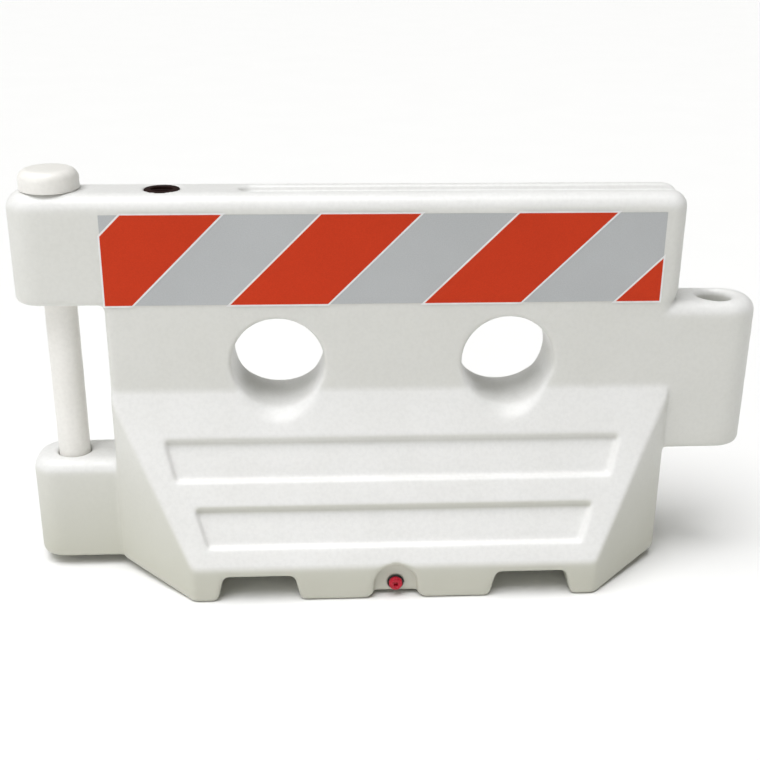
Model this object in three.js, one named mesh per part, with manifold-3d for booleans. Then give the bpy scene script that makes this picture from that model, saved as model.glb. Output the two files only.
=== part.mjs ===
// A water filled road barrier: one hollow rotomoulded shell with two hinge knuckles at one
// end and a tongue at the other, a drop-in connecting pin, a screwed drain plug and fill
// cap with moulded-in inserts, and striped reflective sheeting on both sides of the rail.
//
// Millimetres, +Z up. The origin is on the ground under the middle of the barrier. +X runs
// along it towards the tongue, and the drain plug is on the -Y side.

import * as THREE from 'three';
import { mergeVertices } from 'three/addons/utils/BufferGeometryUtils.js';
import Module from 'manifold-3d';

const wasm = await Module();
wasm.setup();

// ---- Driving dimensions -------------------------------------------------------------

const GAP = 0.3; // clearance between pieces that touch
const WALL = 6; // thickness of the moulded shell
const BEYOND = 40; // how far a cutter runs past the face that it cuts

const HEIGHT = 900; // ground to the top of the rail
const PITCH = 1500; // connecting pin to the tongue's bore
const END_REACH = 93; // a pin or bore axis to the end of the barrier
const HALF_THICK = 75; // rail, neck, knuckles and tongue
const BODY_END = 642; // half the length of the neck and the base
const RAIL_END = 650; // free end of the rail
const BODY_OVERLAP = 80; // how far knuckles and tongue run into the body

const RAIL_BOTTOM = 652;
const RAIL_EDGE = 36; // rounding of the rail's top edges
const RAIL_CORNER = RAIL_EDGE + 2; // plan rounding of the rail's and neck's free end
const KNUCKLE_CORNER = 62; // plan rounding of the knuckles' ends
const KNUCKLE_EDGE = 32; // rounding of the lower knuckle's and the tongue's top edges
const RAIL_LOW_EDGE = 16; // rounding under the upper knuckle
const LOW_EDGE = 8; // rounding of the lower knuckle's and the tongue's bottom edges
const INNER_CORNER = KNUCKLE_EDGE + 2; // their corners inside the body
const TONGUE_CORNER = 71; // the tongue ends in nearly a half circle
const LOWER_KNUCKLE = { bottom: 24, top: 275 };
const TONGUE = { bottom: 287, top: 646 };
const FILLET = 20; // under the upper knuckle, against the neck

const LEDGE_Z = 450; // where the neck meets the slope of the base
const TOE_Z = 84; // top of the upright toe strip
const TOE_Y = 250; // half the width of the base
const TOE_END = 460; // half the length of the toe
const SHOULDER_Y = 82; // where the base's slanted ends begin

const FORK_GAP = { inner: 217, outer: 406, height: 62, lean: 15, corner: 14 };
const MIDDLE_GAP = { half: 64, height: 9, lean: 9 };

// In front of the neck a round hole widens as it runs out through the slope of the base.
const HOLE = { x: 262, z: 514, radius: 105, slope: 0.8 };
const PANELS = [
  { bottom: 266, top: 346, bottomHalf: 496, topHalf: 520 },
  { bottom: 129, top: 206, bottomHalf: 425, topHalf: 452 },
];
const PANEL_DEPTH = 14;
const PANEL_CORNER = 12;
const GROOVE = { start: -336, half: 25, depth: 15 };

const KNUCKLE_BORE = { radius: 38.5, flare: 2 };
const TONGUE_BORE = { radius: 38.5, flare: 10 };
const PIN = { x: -PITCH / 2, radius: 36.3, bottom: 40, headRadius: 65, headHeight: 46 };
const PIN_WALL = 5;
const PIN_VENT = 6; // radius of the moulding vent in the pin's foot

const FILL = { x: -507.5, opening: 39.4, depth: 10, thread: 31, neck: 48, neckLength: 44 };
const DRAIN = { z: 34, recess: 50, recessDepth: 18, thread: 12, boss: 27, bossLength: 34 };

const SHEET = { left: -637, right: 598, bottom: 656, height: 203.2, thick: 1 };
const STRIPE_WIDTH = 152.4 * Math.SQRT2; // six inch stripes, measured along the sheet
const STRIPE_PITCH = 2 * STRIPE_WIDTH;
const FIRST_STRIPE = -794; // foot of the first stripe, before the sheet's end cuts it
const STRIPE_THICK = 0.5;
const STRIPE_COUNT = 4;

const ARC_STEPS = 3;
const EDGE_STEPS = 3;
const LOW_EDGE_STEPS = 2;
const PANEL_EDGE_STEPS = 2;
const ROUND_STEPS = 32;

// ---- Materials ----------------------------------------------------------------------

function plastic(color, roughness) {
  return new THREE.MeshStandardMaterial({ color, roughness, metalness: 0 });
}

const WHITE_PLASTIC = plastic('#e6e6e0', 0.5);
const PIN_PLASTIC = plastic('#e6dcd5', 0.55);
const RED_PLASTIC = plastic('#b01030', 0.35);
const BLACK_PLASTIC = plastic('#1c1416', 0.45);
const BLACK_RUBBER = plastic('#18181a', 0.8);
const SILVER_SHEET = plastic('#b0b4b5', 0.4);
const ORANGE_SHEET = plastic('#bd3a22', 0.4);
const BRASS = new THREE.MeshStandardMaterial({ color: '#b08d4c', roughness: 0.35, metalness: 1 });

// ---- Solids and meshes --------------------------------------------------------------

const X_AXIS = new THREE.Vector3(1, 0, 0);
const Y_AXIS = new THREE.Vector3(0, 1, 0);
const Z_AXIS = new THREE.Vector3(0, 0, 1);
const ALONG_X = new THREE.Matrix4().makeBasis(Y_AXIS, Z_AXIS, X_AXIS);
const ALONG_MINUS_Y = new THREE.Matrix4().makeBasis(X_AXIS, Z_AXIS, Y_AXIS.clone().negate());

// A closed three.js geometry as a solid that can be joined and cut.
function toSolid(geometry) {
  geometry.deleteAttribute('normal');
  geometry.deleteAttribute('uv');
  const merged = mergeVertices(geometry, 1e-3);
  const index = merged.index.array;
  const triVerts = [];
  for (let i = 0; i < index.length; i += 3) {
    const [a, b, c] = [index[i], index[i + 1], index[i + 2]];
    if (a !== b && b !== c && c !== a) triVerts.push(a, b, c);
  }
  return new wasm.Manifold(new wasm.Mesh({
    numProp: 3,
    vertProperties: new Float32Array(merged.attributes.position.array),
    triVerts: new Uint32Array(triVerts),
  }));
}

function toMesh(name, solid, material) {
  const cut = solid.getMesh();
  const geometry = new THREE.BufferGeometry();
  geometry.setAttribute('position', new THREE.BufferAttribute(cut.vertProperties, 3));
  geometry.setIndex(new THREE.BufferAttribute(cut.triVerts, 1));
  const flat = geometry.toNonIndexed();
  flat.computeVertexNormals();
  const mesh = new THREE.Mesh(flat, material);
  mesh.name = name;
  return mesh;
}

function union(solids) {
  return solids.reduce((whole, solid) => whole.add(solid));
}

// ---- Outlines -----------------------------------------------------------------------

function unit(from, to) {
  return new THREE.Vector2(to[0] - from[0], to[1] - from[1]).normalize();
}

// A closed outline from [x, y, radius] corners listed anticlockwise, moved inwards by inset.
function outline(corners, inset = 0) {
  const shape = new THREE.Shape();
  corners.forEach((corner, i) => {
    const before = unit(corners.at(i - 1), corner);
    const after = unit(corner, corners[(i + 1) % corners.length]);
    const inwards = new THREE.Vector2(-before.y, before.x);
    const inwardsAfter = new THREE.Vector2(-after.y, after.x);
    const shift = inset / (1 + inwards.dot(inwardsAfter));
    const x = corner[0] + shift * (inwards.x + inwardsAfter.x);
    const y = corner[1] + shift * (inwards.y + inwardsAfter.y);
    const side = Math.sign(before.cross(after));
    const radius = corner[2] ? Math.max(corner[2] - side * inset, 0) : 0;
    if (radius > 0) {
      const tangent = radius * Math.tan(before.angleTo(after) / 2);
      const centre = new THREE.Vector2(x, y)
        .addScaledVector(before, -tangent)
        .addScaledVector(inwards, side * radius);
      const start = inwards.multiplyScalar(-side).angle();
      const end = inwardsAfter.multiplyScalar(-side).angle();
      shape.absarc(centre.x, centre.y, radius, start, end, side < 0);
    } else if (i === 0) {
      shape.moveTo(x, y);
    } else {
      shape.lineTo(x, y);
    }
  });
  return shape;
}

// The outline drawn out along Z, with rounded edges at both ends.
function prism(shape, from, to, edge = 0, edgeSteps = EDGE_STEPS) {
  const geometry = new THREE.ExtrudeGeometry(shape, {
    depth: to - from - 2 * edge,
    curveSegments: ARC_STEPS,
    bevelEnabled: edge > 0,
    bevelThickness: edge,
    bevelSize: edge,
    bevelOffset: -edge,
    bevelSegments: edgeSteps,
  });
  return geometry.translate(0, 0, from + edge);
}

// A turned solid about Z, from [radius, z] points listed from the bottom up.
function turned(profile, steps = ROUND_STEPS) {
  const points = profile.map(([radius, z]) => new THREE.Vector2(radius, z));
  return new THREE.LatheGeometry(points, steps).rotateX(Math.PI / 2);
}

// A closed ring about Z, from its four limits.
function ring(inner, outer, bottom, top) {
  return turned([[inner, bottom], [outer, bottom], [outer, top], [inner, top], [inner, bottom]]);
}

// Points of a quarter circle about [x, y], from one angle to another, in degrees.
function arc(x, y, radius, from, to, steps = EDGE_STEPS) {
  return Array.from({ length: steps + 1 }, (_, i) => {
    const angle = THREE.MathUtils.degToRad(from + ((to - from) * i) / steps);
    return [x + radius * Math.cos(angle), y + radius * Math.sin(angle)];
  });
}

// ---- Shell: the blocks that it is made of, each drawn in by inset for the cavity --------

function endBlock(ends, corners, limits, edges, inset) {
  const [left, right] = ends;
  const [leftCorner, rightCorner] = corners;
  const plan = outline([
    [left, -HALF_THICK, leftCorner],
    [right, -HALF_THICK, rightCorner],
    [right, HALF_THICK, rightCorner],
    [left, HALF_THICK, leftCorner],
  ], inset);
  const bottom = limits.bottom + inset;
  const top = limits.top - inset;
  const roundTop = toSolid(prism(plan, bottom - edges.top, top, edges.top - inset));
  const roundBottom = prism(plan, bottom, top + edges.top, edges.low - inset, LOW_EDGE_STEPS);
  return roundTop.intersect(toSolid(roundBottom));
}

function railAndUpperKnuckle(inset) {
  const limits = { bottom: RAIL_BOTTOM, top: HEIGHT };
  const ends = [PIN.x - END_REACH, RAIL_END];
  const edges = { top: RAIL_EDGE, low: RAIL_LOW_EDGE };
  return endBlock(ends, [KNUCKLE_CORNER, RAIL_CORNER], limits, edges, inset);
}

function lowerKnuckle(inset) {
  const ends = [PIN.x - END_REACH, BODY_OVERLAP - BODY_END];
  const edges = { top: KNUCKLE_EDGE, low: LOW_EDGE };
  return endBlock(ends, [KNUCKLE_CORNER, INNER_CORNER], LOWER_KNUCKLE, edges, inset);
}

function tongue(inset) {
  const ends = [BODY_END - BODY_OVERLAP, PITCH / 2 + END_REACH];
  const edges = { top: KNUCKLE_EDGE, low: LOW_EDGE };
  return endBlock(ends, [INNER_CORNER, TONGUE_CORNER], TONGUE, edges, inset);
}

function neck(inset) {
  const plan = outline([
    [-BODY_END, -HALF_THICK, 12],
    [BODY_END, -HALF_THICK, RAIL_CORNER],
    [BODY_END, HALF_THICK, RAIL_CORNER],
    [-BODY_END, HALF_THICK, 12],
  ], inset);
  return toSolid(prism(plan, LEDGE_Z - 20, RAIL_BOTTOM + 150));
}

// The web that rounds the corner between the upper knuckle and the neck.
function knuckleWeb(inset) {
  const foot = RAIL_BOTTOM - FILLET - 10;
  const side = outline([
    [FILLET - BODY_END, foot],
    [FILLET - BODY_END, RAIL_BOTTOM + RAIL_EDGE],
    [-FILLET - 10 - BODY_END, RAIL_BOTTOM + RAIL_EDGE],
    [-FILLET - 10 - BODY_END, RAIL_BOTTOM],
    [-BODY_END, RAIL_BOTTOM, FILLET],
    [-BODY_END, foot],
  ], inset);
  const half = HALF_THICK - 12 - inset;
  return toSolid(prism(side, -half, half).applyMatrix4(ALONG_MINUS_Y));
}

// The base is where three outlines meet: its section, its plan and its side view.
function base(inset) {
  const section = outline([
    [-TOE_Y, 0, 5],
    [TOE_Y, 0, 5],
    [TOE_Y, TOE_Z, 20],
    [HALF_THICK, LEDGE_Z],
    [-HALF_THICK, LEDGE_Z],
    [-TOE_Y, TOE_Z, 20],
  ], inset);
  const plan = outline([
    [-TOE_END, -TOE_Y, 20],
    [TOE_END, -TOE_Y, 20],
    [BODY_END, -SHOULDER_Y, 22],
    [BODY_END, SHOULDER_Y, 22],
    [TOE_END, TOE_Y, 20],
    [-TOE_END, TOE_Y, 20],
    [-BODY_END, SHOULDER_Y, 22],
    [-BODY_END, -SHOULDER_Y, 22],
  ], inset);
  const long = toSolid(prism(section, -BODY_END, BODY_END).applyMatrix4(ALONG_X));
  const upright = toSolid(prism(plan, -BEYOND, LEDGE_Z + BEYOND));
  const side = prism(outline(feet(), inset), -TOE_Y - BEYOND, TOE_Y + BEYOND);
  return long.intersect(upright).intersect(toSolid(side.applyMatrix4(ALONG_MINUS_Y)));
}

// Side view of the base: four feet, two fork gaps, a shallow middle gap and raised ends.
function feet() {
  const { inner, outer, height, lean, corner } = FORK_GAP;
  const rise = LOWER_KNUCKLE.bottom / (BODY_END - TOE_END);
  const end = BODY_END + BEYOND;
  const right = [
    [MIDDLE_GAP.half - MIDDLE_GAP.lean, MIDDLE_GAP.height, 6],
    [MIDDLE_GAP.half, 0, 6],
    [inner, 0, corner],
    [inner + lean, height, corner],
    [outer - lean, height, corner],
    [outer, 0, corner],
    [TOE_END, 0],
    [end, rise * (end - TOE_END)],
    [end, LEDGE_Z + BEYOND],
  ];
  const left = right.map(([x, z, radius]) => [-x, z, radius]).reverse();
  return [...left, ...right];
}

// ---- Shell: what is cut away, each made larger by grow for the cavity ------------------

function roundHole(x, grow) {
  const radius = HOLE.radius + grow;
  const start = HALF_THICK - (grow * (Math.hypot(1, HOLE.slope) - 1)) / HOLE.slope;
  const mouth = radius + HOLE.slope * (TOE_Y - start);
  const profile = [[0, -TOE_Y], [radius, -TOE_Y], [radius, start], [mouth, TOE_Y], [0, TOE_Y]];
  return toSolid(turned(profile).applyMatrix4(ALONG_MINUS_Y).translate(x, 0, HOLE.z));
}

function pinBore(x, limits, bore, grow) {
  const radius = bore.radius + grow;
  const top = limits.top - grow;
  const bottom = limits.bottom + grow;
  return toSolid(turned([
    [0, bottom - BEYOND],
    [radius + bore.flare, bottom - BEYOND],
    [radius + bore.flare, bottom],
    [radius, bottom + bore.flare],
    [radius, top - bore.flare],
    [radius + bore.flare, top],
    [radius + bore.flare, top + BEYOND],
    [0, top + BEYOND],
  ]).translate(x, 0, 0));
}

// A sunken panel on one slope. Its outline lies in the slope's own plane.
function panel(limits, turn, grow) {
  const run = TOE_Y - HALF_THICK;
  const rise = LEDGE_Z - TOE_Z;
  const length = Math.hypot(run, rise);
  const upSlope = new THREE.Vector3(0, run / length, rise / length);
  const outwards = X_AXIS.clone().cross(upSlope);
  const bottom = ((limits.bottom - TOE_Z) * length) / rise;
  const top = ((limits.top - TOE_Z) * length) / rise;
  const face = outline([
    [-limits.bottomHalf, bottom, PANEL_CORNER],
    [limits.bottomHalf, bottom, PANEL_CORNER],
    [limits.topHalf, top, PANEL_CORNER],
    [-limits.topHalf, top, PANEL_CORNER],
  ], -grow);
  const placed = new THREE.Matrix4()
    .makeBasis(X_AXIS, upSlope, outwards)
    .setPosition(0, -TOE_Y, TOE_Z);
  const floor = -PANEL_DEPTH - grow;
  const cutter = prism(face, floor, BEYOND / 2, PANEL_CORNER / 2, PANEL_EDGE_STEPS);
  return toSolid(cutter.applyMatrix4(placed).rotateZ(turn));
}

function groove(grow) {
  const half = GROOVE.half + grow;
  const start = GROOVE.start - grow;
  const plan = outline([
    [start, -half, half - 1],
    [RAIL_END + BEYOND, -half],
    [RAIL_END + BEYOND, half],
    [start, half, half - 1],
  ]);
  return toSolid(prism(plan, HEIGHT - GROOVE.depth - grow, HEIGHT + BEYOND));
}

function drainRecess(grow) {
  const radius = DRAIN.recess + grow;
  const top = DRAIN.z + radius;
  const arch = outline([
    [-radius, -BEYOND],
    [radius, -BEYOND],
    [radius, top, radius - 1],
    [-radius, top, radius - 1],
  ]);
  const floor = TOE_Y - DRAIN.recessDepth - grow;
  return toSolid(prism(arch, floor, TOE_Y + BEYOND).applyMatrix4(ALONG_MINUS_Y));
}

function cutAway(grow) {
  const upperKnuckle = { bottom: RAIL_BOTTOM, top: HEIGHT };
  const panels = PANELS.flatMap((limits) => [0, Math.PI].map((turn) => panel(limits, turn, grow)));
  return union([
    roundHole(-HOLE.x, grow),
    roundHole(HOLE.x, grow),
    pinBore(PIN.x, upperKnuckle, KNUCKLE_BORE, grow),
    pinBore(PIN.x, LOWER_KNUCKLE, KNUCKLE_BORE, grow),
    pinBore(PITCH / 2, TONGUE, TONGUE_BORE, grow),
    groove(grow),
    drainRecess(grow),
    ...panels,
  ]);
}

// ---- Shell: the thickened places that hold the two inserts, and their sockets ----------

// Turned pieces of the fill and the drain are drawn about Z with their outer face at zero.
function atFill(geometry) {
  return geometry.translate(FILL.x, 0, HEIGHT);
}

function atDrain(geometry) {
  return geometry.applyMatrix4(ALONG_MINUS_Y).translate(0, DRAIN.recessDepth - TOE_Y, DRAIN.z);
}

function insertBosses() {
  const fill = turned([[0, -FILL.neckLength], [FILL.neck, -FILL.neckLength], [FILL.neck, 0], [0, 0]]);
  const drain = turned([
    [0, -DRAIN.bossLength],
    [DRAIN.boss, -DRAIN.bossLength],
    [DRAIN.boss, 0],
    [0, 0],
  ]);
  return toSolid(atFill(fill)).add(toSolid(atDrain(drain)));
}

const FILL_INSERT = { outer: 37, top: -FILL.depth, bottom: -36, flange: 41, flangeHalf: 3 };
const DRAIN_INSERT = { outer: 17, top: 0, bottom: -26, flange: 21, flangeHalf: 3 };

// Outer profile of a moulded-in insert, with its anchoring flange half way down.
function insertSide(insert, clearance) {
  const outer = insert.outer + clearance;
  const flange = insert.flange + clearance;
  const middle = (insert.top + insert.bottom) / 2;
  const half = insert.flangeHalf + clearance;
  return [
    [outer, insert.bottom - clearance],
    [outer, middle - half],
    [flange, middle - half],
    [flange, middle + half],
    [outer, middle + half],
  ];
}

function fillSocket() {
  return toSolid(atFill(turned([
    [0, -FILL.neckLength - BEYOND],
    [FILL.thread + 1, -FILL.neckLength - BEYOND],
    [FILL.thread + 1, FILL_INSERT.bottom - GAP],
    ...insertSide(FILL_INSERT, GAP),
    [FILL_INSERT.outer + GAP, FILL_INSERT.top],
    [FILL.opening, FILL_INSERT.top],
    [FILL.opening, BEYOND],
    [0, BEYOND],
  ])));
}

function drainSocket() {
  return toSolid(atDrain(turned([
    [0, -DRAIN.bossLength - BEYOND],
    [DRAIN.thread + 1, -DRAIN.bossLength - BEYOND],
    [DRAIN.thread + 1, DRAIN_INSERT.bottom - GAP],
    ...insertSide(DRAIN_INSERT, GAP),
    [DRAIN_INSERT.outer + GAP, BEYOND],
    [0, BEYOND],
  ])));
}

function blocks(inset) {
  const makers = [railAndUpperKnuckle, neck, knuckleWeb, base, lowerKnuckle, tongue];
  return union(makers.map((make) => make(inset)));
}

function barrierShell() {
  const cavity = blocks(WALL).subtract(cutAway(WALL)).subtract(insertBosses());
  return blocks(0)
    .subtract(cutAway(0))
    .subtract(cavity)
    .subtract(fillSocket())
    .subtract(drainSocket());
}

// ---- Connecting pin -----------------------------------------------------------------

function connectingPin() {
  const seat = HEIGHT + GAP;
  const top = seat + PIN.headHeight;
  const crown = 22;
  const tip = 8;
  const inside = PIN.radius - PIN_WALL;
  const body = toSolid(turned([
    [0, PIN.bottom],
    [PIN.radius - tip, PIN.bottom],
    [PIN.radius, PIN.bottom + tip],
    [PIN.radius, seat],
    [PIN.headRadius - 4, seat],
    [PIN.headRadius, seat + 4],
    ...arc(PIN.headRadius - crown, top - crown, crown, 0, 90),
    [0, top],
  ]));
  const hollow = toSolid(turned([
    [0, PIN.bottom - BEYOND],
    [PIN_VENT, PIN.bottom - BEYOND],
    [PIN_VENT, PIN.bottom + PIN_WALL],
    [inside - tip, PIN.bottom + PIN_WALL],
    [inside, PIN.bottom + PIN_WALL + tip],
    [inside, seat + PIN_WALL],
    [PIN.headRadius - PIN_WALL, seat + PIN_WALL],
    ...arc(PIN.headRadius - crown, top - crown, crown - PIN_WALL, 0, 90),
    [0, top - PIN_WALL],
  ]));
  return body.subtract(hollow).translate([PIN.x, 0, 0]);
}

// ---- Fill cap and drain plug ----------------------------------------------------------

const SEAL_THICK = 2.4;

function insertRing(insert, thread) {
  const bore = thread + GAP;
  const profile = [
    [bore, insert.bottom],
    ...insertSide(insert, 0),
    [insert.outer, insert.top],
    [bore, insert.top],
    [bore, insert.bottom],
  ];
  return turned(profile);
}

function fillSeal() {
  const bottom = FILL_INSERT.top + GAP;
  return ring(FILL.thread + GAP, FILL.opening - 1, bottom, bottom + SEAL_THICK);
}

// The cap screws down flush with the rail and is turned by a bar across its cup.
function fillCap() {
  const flangeUnder = FILL_INSERT.top + SEAL_THICK + 2 * GAP;
  const rim = FILL.opening - GAP;
  const cup = 24;
  const cupDepth = 16;
  const shankBottom = FILL_INSERT.bottom + 4;
  const barHalf = 4;
  const body = toSolid(turned([
    [0, shankBottom],
    [FILL.thread - 2, shankBottom],
    [FILL.thread, shankBottom + 2],
    [FILL.thread, flangeUnder],
    [rim, flangeUnder],
    [rim, -1.5],
    [rim - 1, -0.5],
    [0, -0.5],
  ]));
  const hollow = toSolid(turned([[0, -cupDepth], [cup - 2, -cupDepth], [cup, 1], [0, 1]]));
  const barLimits = [[-cup, -barHalf], [cup, -barHalf], [cup, barHalf], [-cup, barHalf]];
  const bar = toSolid(prism(outline(barLimits), -cupDepth - 1, -1.5));
  return body.subtract(hollow.subtract(bar));
}

function drainSeal() {
  return ring(DRAIN.thread + GAP, 19, GAP, GAP + SEAL_THICK);
}

// The plug has a ribbed head with a square key socket.
function drainPlug() {
  const head = 15.5;
  const under = SEAL_THICK + 2 * GAP;
  const top = under + 10;
  const shankBottom = DRAIN_INSERT.bottom + 2;
  const body = toSolid(turned([
    [0, shankBottom],
    [DRAIN.thread - 2, shankBottom],
    [DRAIN.thread, shankBottom + 2],
    [DRAIN.thread, under],
    [head, under],
    [head, top - 2.5],
    [head - 2.5, top],
    [0, top],
  ]));
  const key = 5;
  const square = outline([[-key, -key], [key, -key], [key, key], [-key, key]]);
  const socket = toSolid(prism(square, top - 6, top + 1));
  const ribCount = 12;
  const flutes = Array.from({ length: ribCount }, (_, i) => {
    const angle = (2 * Math.PI * i) / ribCount;
    const flute = turned([[0, under + 2], [1.6, under + 2], [1.6, top + 1], [0, top + 1]], 6);
    return toSolid(flute.translate(head * Math.cos(angle), head * Math.sin(angle), 0));
  });
  return body.subtract(union([socket, ...flutes]));
}

// ---- Reflective sheeting ----------------------------------------------------------------

const FRONT = -1;
const BACK = 1;

// Turns an outline in (x, z) into a film lying on one side of the rail.
function film(shape, side, lift, thick) {
  const away = HALF_THICK + GAP + lift;
  const slab = prism(shape, away, away + thick).applyMatrix4(ALONG_MINUS_Y);
  return side === FRONT ? slab : slab.rotateZ(Math.PI);
}

function sheetLimits(side) {
  return side === FRONT ? [SHEET.left, SHEET.right] : [-SHEET.right, -SHEET.left];
}

function sheet(side) {
  const [left, right] = sheetLimits(side);
  const top = SHEET.bottom + SHEET.height;
  const face = [[left, SHEET.bottom], [right, SHEET.bottom], [right, top], [left, top]];
  return film(outline(face), side, 0, SHEET.thick);
}

// One slanting stripe, cut off by the ends of the sheet.
function stripe(side, number) {
  const [left, right] = sheetLimits(side);
  const foot = FIRST_STRIPE + number * STRIPE_PITCH;
  const top = SHEET.bottom + SHEET.height;
  const slant = [
    [foot, SHEET.bottom],
    [foot + STRIPE_WIDTH, SHEET.bottom],
    [foot + STRIPE_WIDTH + SHEET.height, top],
    [foot + SHEET.height, top],
  ];
  const lift = SHEET.thick + GAP;
  const whole = toSolid(film(outline(slant), side, lift, STRIPE_THICK));
  const limits = [[left, SHEET.bottom], [right, SHEET.bottom], [right, top], [left, top]];
  const window = toSolid(film(outline(limits), side, 0, 2 * lift));
  return whole.intersect(window);
}

function sheeting(side, sideName) {
  const backing = toMesh(`sheeting_${sideName}`, toSolid(sheet(side)), SILVER_SHEET);
  const stripes = Array.from({ length: STRIPE_COUNT }, (_, i) =>
    toMesh(`stripe_${sideName}_${i + 1}`, stripe(side, i), ORANGE_SHEET));
  return [backing, ...stripes];
}

// ---- The barrier --------------------------------------------------------------------

const barrier = new THREE.Group();
barrier.add(
  toMesh('barrier_shell', barrierShell(), WHITE_PLASTIC),
  toMesh('connecting_pin', connectingPin(), PIN_PLASTIC),
  toMesh('fill_insert', toSolid(atFill(insertRing(FILL_INSERT, FILL.thread))), BRASS),
  toMesh('fill_seal', toSolid(atFill(fillSeal())), BLACK_RUBBER),
  toMesh('fill_cap', fillCap().translate([FILL.x, 0, HEIGHT]), BLACK_PLASTIC),
  toMesh('drain_insert', toSolid(atDrain(insertRing(DRAIN_INSERT, DRAIN.thread))), BRASS),
  toMesh('drain_seal', toSolid(atDrain(drainSeal())), BLACK_RUBBER),
  toMesh(
    'drain_plug',
    drainPlug().rotate([90, 0, 0]).translate([0, DRAIN.recessDepth - TOE_Y, DRAIN.z]),
    RED_PLASTIC,
  ),
  ...sheeting(FRONT, 'front'),
  ...sheeting(BACK, 'back'),
);

export default barrier;
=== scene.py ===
"""Visual model of a water filled road barrier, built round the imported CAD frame.

The moulded shell is drawn as a distance field, which is blurred a little so that every edge
gets the soft rounding of a rotomoulded part, and then turned into a mesh. The smaller pieces
are turned or extruded. Everything is in metres, with +Z up and the drain side facing -Y.
"""

import math

import bmesh
import bpy
import numpy as np
from mathutils import Matrix, Vector


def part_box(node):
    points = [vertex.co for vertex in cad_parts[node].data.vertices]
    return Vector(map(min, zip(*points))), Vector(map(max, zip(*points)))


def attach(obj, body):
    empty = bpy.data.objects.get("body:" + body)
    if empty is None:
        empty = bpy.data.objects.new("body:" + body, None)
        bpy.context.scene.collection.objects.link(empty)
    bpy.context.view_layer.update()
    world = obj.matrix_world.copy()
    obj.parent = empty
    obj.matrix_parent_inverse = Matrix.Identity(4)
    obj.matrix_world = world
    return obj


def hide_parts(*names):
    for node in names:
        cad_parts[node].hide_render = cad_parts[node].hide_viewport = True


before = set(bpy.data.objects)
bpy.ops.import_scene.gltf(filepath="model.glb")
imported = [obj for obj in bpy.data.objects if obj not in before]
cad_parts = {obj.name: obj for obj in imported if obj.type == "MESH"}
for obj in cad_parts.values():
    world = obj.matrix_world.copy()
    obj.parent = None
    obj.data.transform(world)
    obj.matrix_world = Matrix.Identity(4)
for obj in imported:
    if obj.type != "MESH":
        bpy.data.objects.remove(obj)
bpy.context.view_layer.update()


# ---- Sizes from the frame -------------------------------------------------------------

SHELL_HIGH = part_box("barrier_shell")[1]
PIN_LOW, PIN_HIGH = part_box("connecting_pin")
CAP_LOW, CAP_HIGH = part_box("fill_cap")
PLUG_LOW, PLUG_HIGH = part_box("drain_plug")
GASKET_LOW, GASKET_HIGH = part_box("drain_seal")

HALF_LENGTH = SHELL_HIGH.x
HALF_BASE = SHELL_HIGH.y
HEIGHT = SHELL_HIGH.z
PIN_X = (PIN_LOW.x + PIN_HIGH.x) / 2
BORE_X = -PIN_X
FILL_X = (CAP_LOW.x + CAP_HIGH.x) / 2
DRAIN_Z = (PLUG_LOW.z + PLUG_HIGH.z) / 2

# ---- Sizes of the moulding ------------------------------------------------------------

HALF_THICK = 0.075
BODY_END = 0.642
RAIL_END = 0.650
OVERLAP = 0.08
RAIL_BOTTOM = 0.652
RAIL_EDGE = 0.036
RAIL_CORNER = 0.038
KNUCKLE_CORNER = 0.062
KNUCKLE_EDGE = 0.032
LOW_EDGE, RAIL_LOW_EDGE = 0.006, 0.014
LOWER_KNUCKLE = (0.024, 0.275)
TONGUE = (0.287, 0.646)
TONGUE_CORNER = 0.0745
WEB_FILLET = 0.020

LEDGE_Z = 0.450
TOE_Z = 0.084
TOE_END = 0.460
SHOULDER_Y = 0.082

FORK_INNER, FORK_OUTER = 0.217, 0.406
FORK_HEIGHT, FORK_LEAN, FORK_CORNER = 0.062, 0.015, 0.014
MIDDLE_HALF, MIDDLE_HEIGHT, MIDDLE_LEAN = 0.064, 0.009, 0.009

HOLE_X, HOLE_Z = 0.262, 0.514
HOLE_RADIUS, HOLE_LIP = 0.105, 0.004
HOLE_SLOPE = 0.8
PANELS = ((0.266, 0.346, 0.496, 0.520), (0.129, 0.206, 0.425, 0.452))
PANEL_DEPTH = 0.014
GROOVE_START, GROOVE_HALF, GROOVE_DEPTH = -0.336, 0.025, 0.015
KNUCKLE_BORE = (0.0385, 0.002)
TONGUE_BORE = (0.0385, 0.010)
RECESS_RADIUS, RECESS_DEPTH = 0.050, 0.018
DRAIN_FACE_Y = RECESS_DEPTH - HALF_BASE  # floor of the drain recess
FILL_SOCKET = ((0.0394, 0.010), (0.0373, 0.060))
DRAIN_SOCKET = ((0.0173, 0.050),)

GAP = 0.0003  # clearance between pieces that touch

VOXEL = 0.004  # step of the distance field
MARGIN = 0.024  # empty room round the field
SOFTNESS = 0.0047  # how far the field is blurred
SHELL_TRIANGLES = 190_000


# ---- Outlines and distance fields -------------------------------------------------------

def rounded(corners, steps=8):
    """Points of a closed outline given as (u, v, radius) corners, listed anticlockwise."""
    points = []
    for i, (u, v, radius) in enumerate(corners):
        here = Vector((u, v))
        before = (here - Vector(corners[i - 1][:2])).normalized()
        after = (Vector(corners[(i + 1) % len(corners)][:2]) - here).normalized()
        if radius == 0:
            points.append((u, v))
            continue
        turn = before.angle_signed(after) * -1
        reach = radius * math.tan(abs(turn) / 2)
        side = math.copysign(1, turn)
        start = here - before * reach
        centre = start + Vector((-before.y, before.x)) * side * radius
        arm = start - centre
        for k in range(steps + 1):
            c, s = math.cos(turn * k / steps), math.sin(turn * k / steps)
            points.append((centre.x + c * arm.x - s * arm.y, centre.y + s * arm.x + c * arm.y))
    return points


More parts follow.
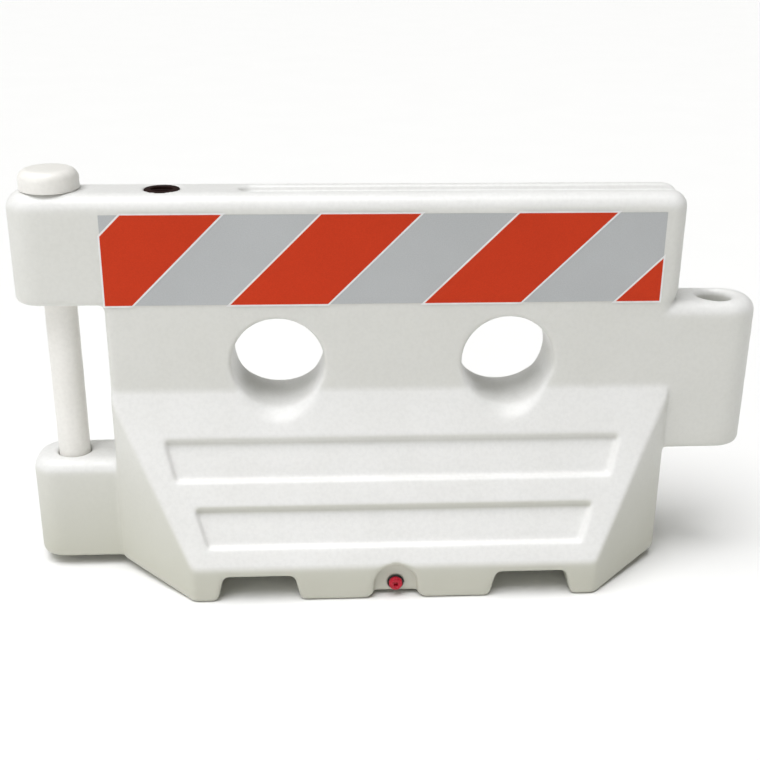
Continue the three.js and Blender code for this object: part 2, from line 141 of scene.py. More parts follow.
def outline_distance(corners, u, v):
    """Signed distance to an outline, negative inside. u and v are arrays that broadcast."""
    points = rounded(corners)
    nearest = np.inf
    inside = np.zeros(np.broadcast(u, v).shape, bool)
    for (au, av), (bu, bv) in zip(points, points[1:] + points[:1]):
        eu, ev = bu - au, bv - av
        t = np.clip(((u - au) * eu + (v - av) * ev) / max(eu * eu + ev * ev, 1e-18), 0, 1)
        nearest = np.minimum(nearest, (u - au - t * eu) ** 2 + (v - av - t * ev) ** 2)
        crosses = (av > v) != (bv > v)
        inside ^= crosses & (u < au + (v - av) * eu / (ev or 1.0))
    return np.where(inside, -1.0, 1.0).astype(np.float32) * np.sqrt(nearest).astype(np.float32)


def slab(w, low, high):
    return np.abs(w - (low + high) / 2) - (high - low) / 2


def extruded(outline, thickness, edge):
    """Where an outline's field meets a slab's field, with a round edge between them."""
    a = outline + np.float32(edge)
    b = (thickness + edge).astype(np.float32)
    outside = np.hypot(np.maximum(a, 0), np.maximum(b, 0))
    return outside + np.minimum(np.maximum(a, b), 0) - np.float32(edge)


def end_block(x, y, z, ends, corners, limits, top_edge, low_edge=LOW_EDGE):
    left, right = ends
    plan = [
        (left, -HALF_THICK, corners[0]),
        (right, -HALF_THICK, corners[1]),
        (right, HALF_THICK, corners[1]),
        (left, HALF_THICK, corners[0]),
    ]
    across = outline_distance(plan, x, y)
    upper = extruded(across, z - limits[1], top_edge)
    return np.maximum(upper, extruded(across, limits[0] - z, low_edge))


def feet_outline():
    """Side view of the base: four feet, two fork gaps, a middle gap and raised ends."""
    rise = LOWER_KNUCKLE[0] / (BODY_END - TOE_END)
    end = BODY_END + MARGIN
    right = [
        (MIDDLE_HALF - MIDDLE_LEAN, MIDDLE_HEIGHT, 0),
        (MIDDLE_HALF, 0, 0),
        (FORK_INNER, 0, FORK_CORNER),
        (FORK_INNER + FORK_LEAN, FORK_HEIGHT, FORK_CORNER),
        (FORK_OUTER - FORK_LEAN, FORK_HEIGHT, FORK_CORNER),
        (FORK_OUTER, 0, FORK_CORNER),
        (TOE_END, 0, 0),
        (end, rise * (end - TOE_END), 0),
        (end, LEDGE_Z + MARGIN, 0),
    ]
    left = [(-u, v, radius) for u, v, radius in reversed(right)]
    return left + right


def base_field(x, y, z):
    """The base. Its slopes run on a little way inside the neck."""
    inner_y = HALF_THICK / 2
    slope = (HALF_BASE - HALF_THICK) / (LEDGE_Z - TOE_Z)
    inner_z = LEDGE_Z + (HALF_THICK - inner_y) / slope
    section = [
        (-HALF_BASE, 0, 0),
        (HALF_BASE, 0, 0),
        (HALF_BASE, TOE_Z, 0.02),
        (inner_y, inner_z, 0),
        (-inner_y, inner_z, 0),
        (-HALF_BASE, TOE_Z, 0.02),
    ]
    plan = [
        (-TOE_END, -HALF_BASE, 0.02),
        (TOE_END, -HALF_BASE, 0.02),
        (BODY_END, -SHOULDER_Y, 0.02),
        (BODY_END, SHOULDER_Y, 0.02),
        (TOE_END, HALF_BASE, 0.02),
        (-TOE_END, HALF_BASE, 0.02),
        (-BODY_END, SHOULDER_Y, 0.02),
        (-BODY_END, -SHOULDER_Y, 0.02),
    ]
    whole = np.maximum(outline_distance(section, y, z), outline_distance(plan, x, y))
    return np.maximum(whole, outline_distance(feet_outline(), x, z))


def web_field(x, y, z):
    """The web that rounds the corner between the upper knuckle and the neck."""
    foot = RAIL_BOTTOM - WEB_FILLET - 0.01
    top = RAIL_BOTTOM + RAIL_EDGE
    side = [
        (WEB_FILLET - BODY_END, foot, 0),
        (WEB_FILLET - BODY_END, top, 0),
        (-WEB_FILLET - 0.01 - BODY_END, top, 0),
        (-WEB_FILLET - 0.01 - BODY_END, RAIL_BOTTOM, 0),
        (-BODY_END, RAIL_BOTTOM, WEB_FILLET),
        (-BODY_END, foot, 0),
    ]
    half = HALF_THICK - 0.012
    return extruded(outline_distance(side, x, z), slab(y, -half, half), 0.012)


def panels_field(x, y, z):
    """The sunken panels, in the plane of the slope: v runs up it and w out of it."""
    run, rise = HALF_BASE - HALF_THICK, LEDGE_Z - TOE_Z
    length = math.hypot(run, rise)
    across = np.abs(y) - HALF_BASE
    v = (z - TOE_Z) * (rise / length) - across * (run / length)
    w = across * (rise / length) + (z - TOE_Z) * (run / length)
    depth = (-PANEL_DEPTH - w).astype(np.float32)
    whole = np.inf
    for low, high, low_half, high_half in PANELS:
        v_low, v_high = ((level - TOE_Z) * length / rise for level in (low, high))
        lean = (high_half - low_half) / (v_high - v_low)
        ends = (np.abs(x) - low_half - lean * (v - v_low)) / math.hypot(1, lean)
        face = np.maximum(np.maximum(v_low - v, v - v_high), ends)
        whole = np.minimum(whole, np.maximum(face, depth))
    return whole


def cuts_field(x, y, z):
    """Bores, rail groove and drain recess."""
    whole = np.inf
    for (radius, flare), side, (low, high) in (
        (KNUCKLE_BORE, -1, (RAIL_BOTTOM, HEIGHT)),
        (KNUCKLE_BORE, -1, LOWER_KNUCKLE),
        (TONGUE_BORE, 1, TONGUE),
    ):
        from_bore = np.hypot(x - side * BORE_X, y)
        from_mouth = np.minimum(np.abs(z - low), np.abs(z - high))
        widened = radius + np.maximum(flare - from_mouth, 0)
        whole = np.minimum(whole, np.maximum(from_bore - widened, slab(z, low - 0.05, high + 0.005)))
    slot = np.hypot(np.minimum(x - GROOVE_START - GROOVE_HALF, 0), y) - GROOVE_HALF
    whole = np.minimum(whole, np.maximum(slot, HEIGHT - GROOVE_DEPTH - z))
    arch = np.hypot(x, np.maximum(z - DRAIN_Z, 0)) - RECESS_RADIUS
    floor = np.maximum(arch, y + HALF_BASE - RECESS_DEPTH)
    return np.minimum(whole, floor)


def with_round_holes(solid, x, y, z):
    """Cuts the two holes, which widen in front of the neck, and rounds their rims."""
    inside = HOLE_RADIUS - np.hypot(np.abs(x) - HOLE_X, z - HOLE_Z)
    widened = (inside + HOLE_SLOPE * (-y - HALF_THICK)) / math.hypot(1, HOLE_SLOPE)
    hole = np.maximum(inside, widened).astype(np.float32)
    lip = np.float32(HOLE_LIP)
    corner = np.hypot(np.maximum(solid + lip, 0), np.maximum(hole + lip, 0))
    return np.minimum(-lip, np.maximum(solid, hole)) + corner


def moulding_field(x, y, z):
    ends = (-HALF_LENGTH, RAIL_END)
    corners = (KNUCKLE_CORNER, RAIL_CORNER)
    rail = end_block(x, y, z, ends, corners, (RAIL_BOTTOM, HEIGHT), RAIL_EDGE, RAIL_LOW_EDGE)
    ends = (-BODY_END, BODY_END)
    neck = end_block(x, y, z, ends, (0.012, RAIL_CORNER), (LEDGE_Z / 2, RAIL_BOTTOM + 0.15), 0)
    ends = (-HALF_LENGTH, OVERLAP - BODY_END)
    knuckle = end_block(
        x, y, z, ends, (KNUCKLE_CORNER, KNUCKLE_EDGE), LOWER_KNUCKLE, KNUCKLE_EDGE)
    ends = (BODY_END - OVERLAP, HALF_LENGTH)
    tongue = end_block(x, y, z, ends, (KNUCKLE_EDGE, TONGUE_CORNER), TONGUE, KNUCKLE_EDGE)
    whole = np.minimum(rail, neck)
    for part in (knuckle, tongue, base_field(x, y, z), web_field(x, y, z)):
        whole = np.minimum(whole, part)
    whole = with_round_holes(whole, x, y, z)
    whole = np.maximum(whole, -panels_field(x, y, z).astype(np.float32))
    return np.maximum(whole, -cuts_field(x, y, z).astype(np.float32))


def sockets_field(x, y, z):
    """The crisp sockets of the fill cap and the drain plug."""
    from_fill = np.hypot(x - FILL_X, y)
    from_drain = np.hypot(x, z - DRAIN_Z)
    fills = [np.maximum(from_fill - r, HEIGHT - depth - z) for r, depth in FILL_SOCKET]
    drains = [np.maximum(from_drain - r, y - DRAIN_FACE_Y - depth) for r, depth in DRAIN_SOCKET]
    whole = fills[0]
    for socket in fills[1:] + drains:
        whole = np.minimum(whole, socket)
    return whole.astype(np.float32)


def blurred(field, sigma):
    """The field averaged over a round neighbourhood of sigma metres."""
    reach = math.ceil(3 * sigma / VOXEL)
    steps = np.arange(-reach, reach + 1)
    weights = np.exp(-0.5 * (steps * VOXEL / sigma) ** 2)
    weights = (weights / weights.sum()).astype(np.float32)
    for axis in range(3):
        padding = [(reach, reach) if a == axis else (0, 0) for a in range(3)]
        padded = np.pad(field, padding, mode="edge")
        total = np.zeros_like(field)
        for k, weight in enumerate(weights):
            cut = [slice(None)] * 3
            cut[axis] = slice(k, k + field.shape[axis])
            total += weight * padded[tuple(cut)]
        field = total
    return field


def surface_net(field, origin, step):
    """Vertices and quads of the surface where the field is zero."""
    corners = [(i, j, k) for i in (0, 1) for j in (0, 1) for k in (0, 1)]
    shape = tuple(n - 1 for n in field.shape)
    below = field < 0

    def corner(values, at):
        return values[tuple(slice(a, a + n) for a, n in zip(at, shape))]

    count = sum(corner(below, at).astype(np.int8) for at in corners)
    cells = np.nonzero((count > 0) & (count < 8))
    total = np.zeros((len(cells[0]), 3))
    hits = np.zeros(len(cells[0]))
    for a in corners:
        for axis in range(3):
            if a[axis]:
                continue
            b = tuple(v + (axis == n) for n, v in enumerate(a))
            at_a = field[tuple(c + o for c, o in zip(cells, a))]
            at_b = field[tuple(c + o for c, o in zip(cells, b))]
            hit = (at_a < 0) != (at_b < 0)
            t = np.where(hit, at_a / np.where(hit, at_a - at_b, 1), 0)
            point = np.array(a, float) + t[:, None] * np.eye(3)[axis]
            total += point * hit[:, None]
            hits += hit
    vertices = origin + step * (np.stack(cells, 1) + total / hits[:, None])
    number = np.full(shape, -1, np.int32)
    number[cells] = np.arange(len(cells[0]))
    quads = []
    for axis in range(3):
        along = [slice(1, -1)] * 3
        along[axis] = slice(0, -1)
        ahead = list(along)
        ahead[axis] = slice(1, None)
        start, end = below[tuple(along)], below[tuple(ahead)]
        at = np.stack(np.nonzero(start != end), 1)
        at += [0 if n == axis else 1 for n in range(3)]
        u, v = [np.eye(3, dtype=int)[(axis + n) % 3] for n in (1, 2)]
        ring = [number[tuple((at - back).T)] for back in (0 * u, u, u + v, v)]
        faces = np.stack(ring, 1)
        leaving = below[tuple(at.T)]
        quads.append(np.where(leaving[:, None], faces, faces[:, ::-1]))
    return vertices, np.concatenate(quads)


# ---- Meshes -------------------------------------------------------------------------------

def add_object(name, mesh, body, slot, *nodes):
    obj = bpy.data.objects.new(name, mesh)
    bpy.context.scene.collection.objects.link(obj)
    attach(obj, body)
    if nodes:
        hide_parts(*nodes)
    return obj


def smooth_by_angle(mesh, degrees):
    """Smooth shading, with every edge sharper than this kept crisp."""
    mesh.shade_smooth()
    work = bmesh.new()
    work.from_mesh(mesh)
    for edge in work.edges:
        edge.smooth = edge.calc_face_angle(0) < math.radians(degrees)
    work.to_mesh(mesh)
    work.free()


def apply_modifiers(obj):
    graph = bpy.context.evaluated_depsgraph_get()
    mesh = bpy.data.meshes.new_from_object(obj.evaluated_get(graph))
    obj.modifiers.clear()
    obj.data = mesh


def make_shell():
    low = Vector((-HALF_LENGTH, -HALF_BASE, 0)) - Vector((MARGIN,) * 3)
    high = Vector((HALF_LENGTH, HALF_BASE, HEIGHT)) + Vector((MARGIN,) * 3)
    counts = [math.ceil((b - a) / VOXEL) + 1 for a, b in zip(low, high)]
    x, y, z = (
        (a + VOXEL * np.arange(n)).astype(np.float32) for a, n in zip(low, counts))
    x, y, z = x[:, None, None], y[None, :, None], z[None, None, :]
    field = blurred(moulding_field(x, y, z), SOFTNESS)
    field = np.maximum(field, -sockets_field(x, y, z))
    vertices, quads = surface_net(field, np.array(low), VOXEL)
    mesh = bpy.data.meshes.new("barrier_body")
    mesh.from_pydata(vertices, [], quads.tolist())
    obj = add_object("barrier_body", mesh, "shell", "barrier_plastic", "barrier_shell")
    thin = obj.modifiers.new("thin", "DECIMATE")
    thin.ratio = SHELL_TRIANGLES / (2 * len(quads))
    apply_modifiers(obj)
    obj.data.shade_smooth()
    return obj


def lathe(name, rings, steps=96, round_to=None):
    """A turned mesh about +Z from (radius, z) rings that end on the axis or where they began.

    round_to(ring, angle) may scale a ring's radius, for flutes and square sockets."""
    work = bmesh.new()
    loops = []
    for number, (radius, z) in enumerate(rings):
        if radius == 0:
            loops.append([work.verts.new((0, 0, z))])
            continue
        loop = []
        for k in range(steps):
            angle = 2 * math.pi * k / steps
            r = radius * (round_to(number, angle) if round_to else 1)
            loop.append(work.verts.new((r * math.cos(angle), r * math.sin(angle), z)))
        loops.append(loop)
    closed = rings[0] == rings[-1]
    if closed:
        for vert in loops[-1]:
            work.verts.remove(vert)
        loops[-1] = loops[0]
    for a, b in zip(loops, loops[1:]):
        for k in range(steps):
            corners = [a[k % len(a)], a[(k + 1) % steps % len(a)]]
            corners += [b[(k + 1) % steps % len(b)], b[k % len(b)]]
            distinct = list(dict.fromkeys(corners))
            if len(distinct) > 2:
                work.faces.new(distinct)
    mesh = bpy.data.meshes.new(name)
    bmesh.ops.recalc_face_normals(work, faces=work.faces)
    work.to_mesh(mesh)
    work.free()
    return mesh


def arc(centre, radius, start, end, steps=8):
    """Ring points of a quarter round, from one angle to another in degrees."""
    points = []
    for k in range(steps + 1):
        angle = math.radians(start + (end - start) * k / steps)
        points.append((centre[0] + radius * math.cos(angle), centre[1] + radius * math.sin(angle)))
    return points


def make_pin():
    """The loose connecting pin: a headed moulding with a domed crown and a tapered foot."""
    seat = HEIGHT + GAP
    stem, head, crown = 0.0363, PIN_HIGH.x - PIN_X, 0.022
    foot, top = PIN_LOW.z, PIN_HIGH.z
    rings = [(0, foot + 0.004), (0.006, foot + 0.004), (0.0075, foot)]
    rings += arc((stem - 0.010, foot + 0.010), 0.010, -90, 0)
    rings += [(stem, foot + 0.3), (stem, foot + 0.6), (stem, seat - 0.002)]
    rings += [(stem + 0.001, seat), (head - 0.005, seat)]
    rings += arc((head - 0.004, seat + 0.004), 0.004, -90, 0, 6)
    rings += arc((head - crown, top - crown), crown, 0, 86, 12)
    rings += [(head * 0.35, top - 0.0001), (0, top)]
    mesh = lathe("connecting_pin_body", rings)
    mesh.transform(Matrix.Translation((PIN_X, 0, 0)))
    obj = add_object("connecting_pin_body", mesh, "pin", "pin_plastic", "connecting_pin")
    smooth_by_angle(mesh, 50)
    return obj


def make_fill_cap():
    """A black screw cap with a cup and a grip bar across it."""
    rim = CAP_HIGH.x - FILL_X
    under = CAP_LOW.z - HEIGHT
    shank, thread_depth = 0.031, 0.0012
    flange = -0.0070
    face = -0.0005
    cup, floor = 0.024, -0.016
    rings = [(0, under), (shank - 0.002, under), (shank, under + 0.002)]
    for turn in range(4):
        z = under + 0.004 + 0.0036 * turn
        root = shank - thread_depth
        rings += [(shank, z), (root, z + 0.0009), (root, z + 0.0018), (shank, z + 0.0027)]
    rings += [(shank, flange), (rim - 0.001, flange)]
    rings += arc((rim - 0.0015, -0.0020), 0.0015, 0, 90, 4)
    rings += [(cup + 0.0015, face), (cup, face - 0.0015), (cup - 0.001, floor + 0.003)]
    rings += [(cup - 0.004, floor), (0, floor)]
    mesh = lathe("fill_cap_body", rings, 96)
    work = bmesh.new()
    work.from_mesh(mesh)
    half = (0.0245, 0.0042, 0.0075)
    bar = bmesh.ops.create_cube(work, size=2, matrix=Matrix.Diagonal((*half, 1)))
    for vert in bar["verts"]:
        if vert.co.z > 0:
            vert.co.y *= 0.72
        vert.co.z += floor + half[2] - 0.0015
    edges = {edge for vert in bar["verts"] for edge in vert.link_edges}
    bmesh.ops.bevel(work, geom=list(edges), offset=0.0012, segments=3, affect="EDGES")
    work.to_mesh(mesh)
    work.free()
    mesh.transform(Matrix.Translation((FILL_X, 0, HEIGHT)))
    obj = add_object("fill_cap_body", mesh, "cap", "cap_plastic", "fill_cap")
    smooth_by_angle(mesh, 35)
    return obj


def facing_front():
    """Places a piece turned about +Z so that it points out of the drain recess."""
    return Matrix.Translation((0, DRAIN_FACE_Y, DRAIN_Z)) @ Matrix.Rotation(math.pi / 2, 4, "X")


def make_drain_plug():
    """A red screw plug with a fluted head and a square key socket."""
    head = PLUG_HIGH.x
    tip = DRAIN_FACE_Y - PLUG_HIGH.y
    top = DRAIN_FACE_Y - PLUG_LOW.y
    under = 0.003
    shank = 0.012
    key = 0.005
    rings = [(0, tip), (shank - 0.002, tip), (shank, tip + 0.002), (shank, under)]
    rings += [(head - 0.0008, under), (head, under + 0.0008)]
    first_flute = len(rings)
    rings += [(head, under + 0.002), (head, top - 0.004)]
    rings += arc((head - 0.0035, top - 0.0035), 0.0035, 10, 90, 6)
    last_flute = len(rings) - 4
    rings += [(0.0098, top), (0.0092, top - 0.0006)]
    first_square = len(rings)
    rings += [(key, top - 0.0006), (key * 0.96, top - 0.006), (0, top - 0.006)]

    def outline(ring, angle):
        if first_flute <= ring < last_flute:
            return 1 - 0.055 * max(0, math.cos(12 * angle)) ** 3
        if ring >= first_square:
            return 1 / max(abs(math.cos(angle)), abs(math.sin(angle)))
        return 1

    mesh = lathe("drain_plug_body", rings, 144, outline)
    mesh.transform(facing_front())
    obj = add_object("drain_plug_body", mesh, "plug", "plug_plastic", "drain_plug")
    smooth_by_angle(mesh, 35)
    return obj


def make_drain_gasket():
    """The dark ring that shows round the drain plug."""
    inner, outer = 0.0123, GASKET_HIGH.x
    low = DRAIN_FACE_Y - GASKET_HIGH.y
    high = DRAIN_FACE_Y - GASKET_LOW.y
    round_off = 0.0008
    rings = [(inner, low), (outer - round_off, low), (outer, low + round_off)]
    rings += [(outer, high - round_off), (outer - round_off, high), (inner, high), (inner, low)]
    mesh = lathe("drain_gasket", rings, 96)
    mesh.transform(facing_front())
    obj = add_object("drain_gasket", mesh, "plug_seal", "seal_rubber", "drain_seal")
    smooth_by_angle(mesh, 60)
    return obj


# ---- Sheeting -------------------------------------------------------------------------------

BORDER_WIDTH = 0.004  # white line round each stripe
STRIPE_COUNT = 4


def grown(outline, distance):
    """A convex outline, listed anticlockwise, with every side moved out by distance."""
    points = []
    for i, point in enumerate(outline):
        here = Vector(point)
        before = (here - Vector(outline[i - 1])).normalized()
        after = (Vector(outline[(i + 1) % len(outline)]) - here).normalized()
        normals = Vector((before.y, -before.x)) + Vector((after.y, -after.x))
        points.append(here + normals * distance / (1 + before.dot(after)))
    return points


def add_film(work, outline, y_near, y_far, material_index):
    """A thin closed film from an outline in (x, z)."""
    verts = [work.verts.new((x, y_near, z)) for x, z in outline]
    face = work.faces.new(verts)
    pushed = bmesh.ops.extrude_face_region(work, geom=[face], use_keep_orig=True)
    new_verts = [item for item in pushed["geom"] if isinstance(item, bmesh.types.BMVert)]
    for vert in new_verts:
        vert.co.y = y_far
    for vert in verts + new_verts:
        for film_face in vert.link_faces:
            film_face.material_index = material_index


def film_outline(cad, y_outer):
    """The corner points of a CAD film's outer face, in order round it."""
    corners = [vert.co for vert in cad.vertices if abs(vert.co.y - y_outer) < 1e-5]
    points = {(round(corner.x, 6), round(corner.z, 6)) for corner in corners}
    centre = [sum(axis) / len(points) for axis in zip(*points)]
    return sorted(points, key=lambda p: math.atan2(p[1] - centre[1], p[0] - centre[0]))


def make_film(node, layers, slot):
    """Replaces a CAD film. Each layer grows its outline and runs between two shares of its depth."""
    low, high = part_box(node)
    side = math.copysign(1, low.y)
    inner, outer = (low.y, high.y) if side > 0 else (high.y, low.y)
    outline = film_outline(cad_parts[node].data, outer)
    work = bmesh.new()
    for index, (growth, start, end) in enumerate(layers):
        near, far = (inner + (outer - inner) * share for share in (start, end))
        add_film(work, grown(outline, growth), near, far, index)
    bmesh.ops.recalc_face_normals(work, faces=work.faces)
    name = node.replace("sheeting", "silver_film").replace("stripe", "orange_film")
    mesh = bpy.data.meshes.new(name)
    work.to_mesh(mesh)
    work.free()
    return add_object(name, mesh, "shell", slot, node)


def make_sheeting(silver, orange, border):
    for side in ("front", "back"):
        paint(make_film(f"sheeting_{side}", [(0, 0, 1)], "sheeting_silver"), silver)
        for number in range(1, STRIPE_COUNT + 1):
            layers = [(0, 0.2, 1), (BORDER_WIDTH, -0.5, 0.1)]
            paint(make_film(f"stripe_{side}_{number}", layers, "sheeting_orange"), orange, border)


# ---- Materials ------------------------------------------------------------------------------

def new_material(name, **sockets):
    """A Principled material, its node tree and its shader, with constant socket values."""
    material = bpy.data.materials.new(name)
    material.use_nodes = True
    tree = material.node_tree
    shader = tree.nodes["Principled BSDF"]
    for socket, value in sockets.items():
        shader.inputs[socket.replace("_", " ")].default_value = value
    return material, tree, shader


def node(tree, kind, **values):
    made = tree.nodes.new(kind)
    for name, value in values.items():
        if name in made.inputs:
            made.inputs[name].default_value = value
        else:
            setattr(made, name, value)
    return made


def noise(tree, place, scale, detail=3.0, roughness=0.5):
    made = node(tree, "ShaderNodeTexNoise", Scale=scale, Detail=detail, Roughness=roughness)
    tree.links.new(place, made.inputs["Vector"])
    return made.outputs["Fac"]


def ramp(tree, value, stops):
    """A colour ramp from (position, colour) stops."""
    made = tree.nodes.new("ShaderNodeValToRGB")
    while len(made.color_ramp.elements) < len(stops):
        made.color_ramp.elements.new(0.5)
    for element, (position, colour) in zip(made.color_ramp.elements, stops):
        element.position = position
        element.color = (*colour, 1) if len(colour) == 3 else colour
    tree.links.new(value, made.inputs["Fac"])
    return made.outputs["Color"]


def mix(tree, factor, first, second, blend="MIX"):
    made = node(tree, "ShaderNodeMix", data_type="RGBA", blend_type=blend)
    for socket, value in ((made.inputs[0], factor), (made.inputs[6], first), (made.inputs[7], second)):
        if isinstance(value, (int, float)):
            socket.default_value = value
        elif isinstance(value, tuple):
            socket.default_value = (*value, 1)
        else:
            tree.links.new(value, socket)
    return made.outputs[2]


def maths(tree, operation, *values):
    made = node(tree, "ShaderNodeMath", operation=operation)
    for socket, value in zip(made.inputs, values):
        if isinstance(value, (int, float)):
            socket.default_value = value
        else:
            tree.links.new(value, socket)
    return made.outputs[0]


def grey(level):
    return (level, level, level)


def bump(tree, shader, *layers):
    """Stacks (height, distance, strength) layers of bump and links them to the shader."""
    normal = None
    for height, distance, strength in layers:
        made = node(tree, "ShaderNodeBump", Distance=distance, Strength=strength)
        tree.links.new(height, made.inputs["Height"])
        if normal:
            tree.links.new(normal, made.inputs["Normal"])
        normal = made.outputs["Normal"]
    tree.links.new(normal, shader.inputs["Normal"])


def object_place(tree):
    return tree.nodes.new("ShaderNodeTexCoord").outputs["Object"]


UPRIGHT_SHADE = 0.35  # share of painted shade on upright faces well above the ground


def clamped(value):
    value.node.use_clamp = True
    return value


def upright_shade_mask(tree):
    """Mask of painted shade: one on upright faces and undersides, nothing on the slope of the base and
    on top faces.
    """
    split = tree.nodes.new("ShaderNodeSeparateXYZ")
    tree.links.new(tree.nodes.new("ShaderNodeTexCoord").outputs["Normal"], split.inputs[0])
    return clamped(maths(tree, "MULTIPLY_ADD", split.outputs["Z"], -2.5, 1.0))


def low_shade_mask(tree, split):
    """Painted shade towards the ground: nothing above the upper panels, rising to three quarters at
    the ground.
    """
    return clamped(maths(tree, "MULTIPLY_ADD", split.outputs["Z"], -2.2, 0.75))


def moulded_plastic(name, light, dark, shade_and_grime):
    """Rotomoulded polyethylene: orange peel, faint clouding, a parting line, painted shade on upright
    faces that deepens towards the ground, and patches of ground dirt low down.
    """
    material, tree, shader = new_material(name)
    place = object_place(tree)
    cloud = ramp(tree, noise(tree, place, 7, 4), ((0.3, dark), (0.7, light)))
    speckle = ramp(tree, noise(tree, place, 110, 3), ((0.35, grey(0.965)), (0.6, grey(1))))
    colour = mix(tree, 1.0, cloud, speckle, "MULTIPLY")
    split = tree.nodes.new("ShaderNodeSeparateXYZ")
    tree.links.new(place, split.inputs[0])
    if shade_and_grime:
        # Painted shade: upright faces and undersides are darkened with an olive grey, more so towards
        # the ground, standing in for the shade that falls there.
        share = maths(tree, "ADD", low_shade_mask(tree, split), UPRIGHT_SHADE)
        film = maths(tree, "MULTIPLY", upright_shade_mask(tree), share)
        colour = mix(tree, film, colour, (0.56, 0.56, 0.485))
        # Patches of ground dirt low down.
        height = maths(tree, "MULTIPLY_ADD", split.outputs["Z"], -9.0, 0.75)
        patch = maths(tree, "MULTIPLY", noise(tree, place, 18, 6, 0.65), 1.1)
        share = clamped(maths(tree, "MULTIPLY", height, patch))
        share = maths(tree, "MULTIPLY", share, 0.22)
        colour = mix(tree, share, colour, (0.42, 0.38, 0.32))
    tree.links.new(colour, shader.inputs["Base Color"])
    rough = ramp(tree, noise(tree, place, 45, 3), ((0.3, grey(0.33)), (0.7, grey(0.43))))
    tree.links.new(rough, shader.inputs["Roughness"])
    seam = maths(tree, "ABSOLUTE", split.outputs["Y"])
    seam = maths(tree, "LESS_THAN", seam, 0.0011)
    peel = noise(tree, place, 190, 2, 0.4)
    wave = noise(tree, place, 9, 1)
    bump(tree, shader, (wave, 0.02, 0.08), (peel, 0.0012, 0.22), (seam, 0.0006, 0.5))
    return material


def moulded_small(name, light, dark, roughness, scale, gloss=0.5):
    """A small injection moulded piece with a fine grain and slight streaks."""
    material, tree, shader = new_material(name, Specular_IOR_Level=gloss)
    place = object_place(tree)
    colour = ramp(tree, noise(tree, place, scale, 4), ((0.3, dark), (0.7, light)))
    tree.links.new(colour, shader.inputs["Base Color"])
    rough = ramp(
        tree, noise(tree, place, scale * 4, 2),
        ((0.3, grey(roughness - 0.06)), (0.7, grey(roughness + 0.08))))
    tree.links.new(rough, shader.inputs["Roughness"])
    bump(tree, shader, (noise(tree, place, 900, 2), 0.0002, 0.25))
    return material


def brass_material():
    material, tree, shader = new_material("turned_brass", Roughness=0.35, Metallic=1.0)
    place = object_place(tree)
    dull, bright = (0.42, 0.29, 0.11), (0.66, 0.49, 0.22)
    colour = ramp(tree, noise(tree, place, 120, 4), ((0.3, dull), (0.7, bright)))
    tree.links.new(colour, shader.inputs["Base Color"])
    bump(tree, shader, (noise(tree, place, 1500, 2), 0.0002, 0.2))
    return material


def sheeting_material(name, light, dark, gloss):
    """Prismatic reflective film: a lattice of sealed cells over a fine sparkle."""
    material, tree, shader = new_material(name, Roughness=0.42, Specular_IOR_Level=gloss)
    place = object_place(tree)
    grain = ramp(tree, noise(tree, place, 420, 2), ((0.3, dark), (0.7, light)))
    soft = ramp(tree, noise(tree, place, 5, 3), ((0.3, grey(0.93)), (0.7, grey(1))))
    colour = mix(tree, 1.0, grain, soft, "MULTIPLY")
    turned = node(tree, "ShaderNodeMapping")
    turned.inputs["Rotation"].default_value = (0, math.radians(45), 0)
    tree.links.new(place, turned.inputs["Vector"])
    split = tree.nodes.new("ShaderNodeSeparateXYZ")
    tree.links.new(turned.outputs[0], split.inputs[0])
    lines = []
    for axis in ("X", "Z"):
        across = maths(tree, "PINGPONG", split.outputs[axis], 0.0065)
        lines.append(maths(tree, "LESS_THAN", across, 0.00045))
    lattice = maths(tree, "MAXIMUM", *lines)
    share = maths(tree, "MULTIPLY", lattice, 0.10)
    colour = mix(tree, share, colour, light)
    tree.links.new(colour, shader.inputs["Base Color"])
    cells = node(tree, "ShaderNodeTexVoronoi", Scale=620.0)
    tree.links.new(place, cells.inputs["Vector"])
    bump(tree, shader, (cells.outputs["Distance"], 0.0002, 0.12), (lattice, 0.0002, 0.3))
    return material


def border_material():
    material, tree, shader = new_material("sheeting_border", Roughness=0.4)
    place = object_place(tree)
    colour = ramp(tree, noise(tree, place, 60, 3), ((0.3, grey(0.80)), (0.7, grey(0.88))))
    tree.links.new(colour, shader.inputs["Base Color"])
    bump(tree, shader, (noise(tree, place, 500, 2), 0.0001, 0.2))
    return material


def floor_material():
    material, tree, shader = new_material("studio_floor", Roughness=0.9)
    place = object_place(tree)
    light, dark = (0.93, 0.93, 0.925), (0.91, 0.91, 0.905)
    colour = ramp(tree, noise(tree, place, 2, 2), ((0.0, dark), (1.0, light)))
    tree.links.new(colour, shader.inputs["Base Color"])
    return material


# ---- Studio ---------------------------------------------------------------------------------

CAMERA_AT = (-0.171, -2.557, 1.483)
CAMERA_YAW, CAMERA_DOWN, CAMERA_ROLL = 3.24, 22.14, 0.47
LENS = 55.64


def make_camera():
    camera = bpy.data.objects.new("camera", bpy.data.cameras.new("camera"))
    camera.data.lens = LENS
    camera.data.sensor_width = 36
    turn = Matrix.Rotation(math.radians(-CAMERA_YAW), 4, "Z")
    tilt = Matrix.Rotation(math.radians(90 - CAMERA_DOWN), 4, "X")
    roll = Matrix.Rotation(math.radians(CAMERA_ROLL), 4, "Z")
    camera.matrix_world = Matrix.Translation(CAMERA_AT) @ turn @ tilt @ roll
    bpy.context.scene.collection.objects.link(camera)
    bpy.context.scene.camera = camera


def area_light(name, at, aim, size, power):
    data = bpy.data.lights.new(name, "AREA")
    data.shape = "RECTANGLE"
    data.size, data.size_y = size
    data.energy = power
    light = bpy.data.objects.new(name, data)
    light.location = at
    light.rotation_euler = (Vector(aim) - Vector(at)).to_track_quat("-Z", "Y").to_euler()
    bpy.context.scene.collection.objects.link(light)


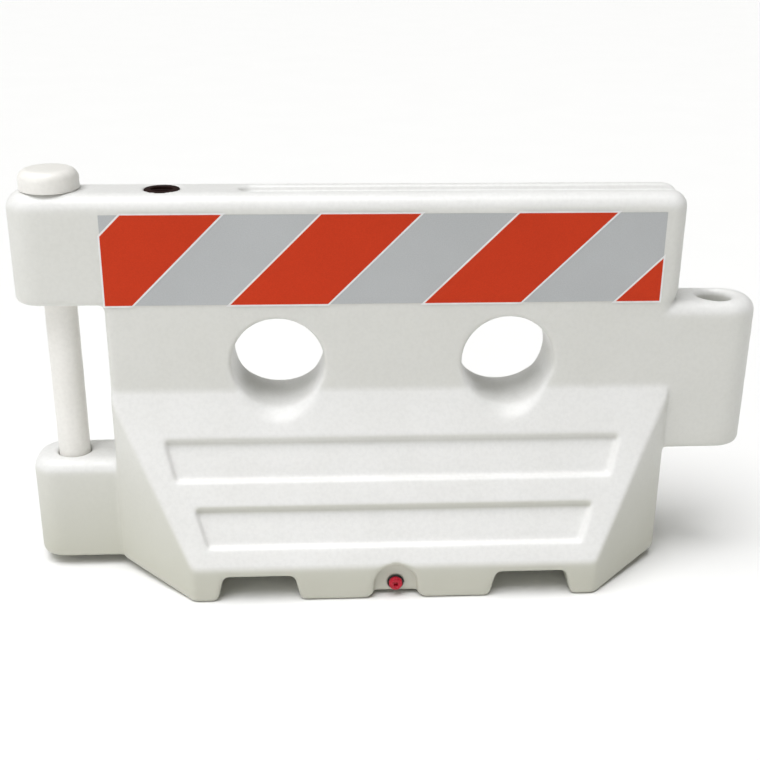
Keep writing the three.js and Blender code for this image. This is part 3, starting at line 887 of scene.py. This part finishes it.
def sun_light(name, towards, spread, strength, colour):
    data = bpy.data.lights.new(name, "SUN")
    data.angle = math.radians(spread)
    data.energy = strength
    data.color = colour
    light = bpy.data.objects.new(name, data)
    light.rotation_euler = Vector(towards).to_track_quat("Z", "Y").to_euler()
    bpy.context.scene.collection.objects.link(light)


def make_world():
    """A pale sky, brighter to the left of the barrier than to the right of it."""
    world = bpy.data.worlds.new("studio")
    world.use_nodes = True
    tree = world.node_tree
    split = tree.nodes.new("ShaderNodeSeparateXYZ")
    tree.links.new(tree.nodes.new("ShaderNodeTexCoord").outputs["Generated"], split.inputs[0])
    sky = ramp(
        tree, maths(tree, "MULTIPLY_ADD", split.outputs["X"], 0.5, 0.5),
        ((0.0, (0.36, 0.36, 0.34)), (1.0, (0.09, 0.09, 0.075))))
    background = tree.nodes["Background"]
    tree.links.new(sky, background.inputs["Color"])
    background.inputs["Strength"].default_value = 1.0
    bpy.context.scene.world = world


def make_studio():
    mesh = bpy.data.meshes.new("floor")
    work = bmesh.new()
    bmesh.ops.create_grid(work, x_segments=8, y_segments=8, size=60)
    work.to_mesh(mesh)
    work.free()
    floor = bpy.data.objects.new("floor", mesh)
    floor.location.z = -0.0005
    floor.data.materials.append(floor_material())
    bpy.context.scene.collection.objects.link(floor)
    make_world()
    sun_light("key", (-0.17, -0.19, 0.95), 50, 2.9, (0.985, 0.985, 1.0))
    area_light("left_fill", (-1.7, -1.5, 1.5), (-0.4, 0, 0.5), (1.0, 1.0), 5)
    bpy.context.scene.view_settings.view_transform = "Standard"


# ---- The barrier ----------------------------------------------------------------------------

def paint(obj, *materials):
    """Puts materials into an object's slots, so that each face keeps its slot number."""
    while len(obj.material_slots) < len(materials):
        obj.data.materials.append(None)
    for slot, material in zip(obj.material_slots, materials):
        slot.material = material


def make_barrier():
    white = moulded_plastic("barrier_white", (0.83, 0.83, 0.82), (0.80, 0.80, 0.785), True)
    pin_white = moulded_plastic("pin_white", (0.90, 0.885, 0.85), (0.87, 0.855, 0.815), False)
    red = moulded_small("plug_red", (0.54, 0.012, 0.035), (0.42, 0.009, 0.026), 0.32, 150, 0.3)
    black = moulded_small("cap_black", (0.022, 0.007, 0.006), (0.012, 0.004, 0.003), 0.6, 90, 0.12)
    rubber = moulded_small("gasket_rubber", (0.022, 0.020, 0.020), (0.012, 0.011, 0.011), 0.7, 200)
    brass = brass_material()
    silver = sheeting_material("silver_sheeting", (0.52, 0.535, 0.545), (0.465, 0.48, 0.49), 0.4)
    orange = sheeting_material("orange_sheeting", (0.64, 0.044, 0.009), (0.575, 0.038, 0.007), 0.15)
    border = border_material()
    paint(make_shell(), white)
    paint(make_pin(), pin_white)
    paint(make_fill_cap(), black)
    paint(make_drain_plug(), red)
    paint(make_drain_gasket(), rubber)
    make_sheeting(silver, orange, border)
    for name in ("fill_insert", "drain_insert"):
        paint(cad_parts[name], brass)
    paint(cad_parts["fill_seal"], rubber)


make_barrier()
make_camera()
make_studio()
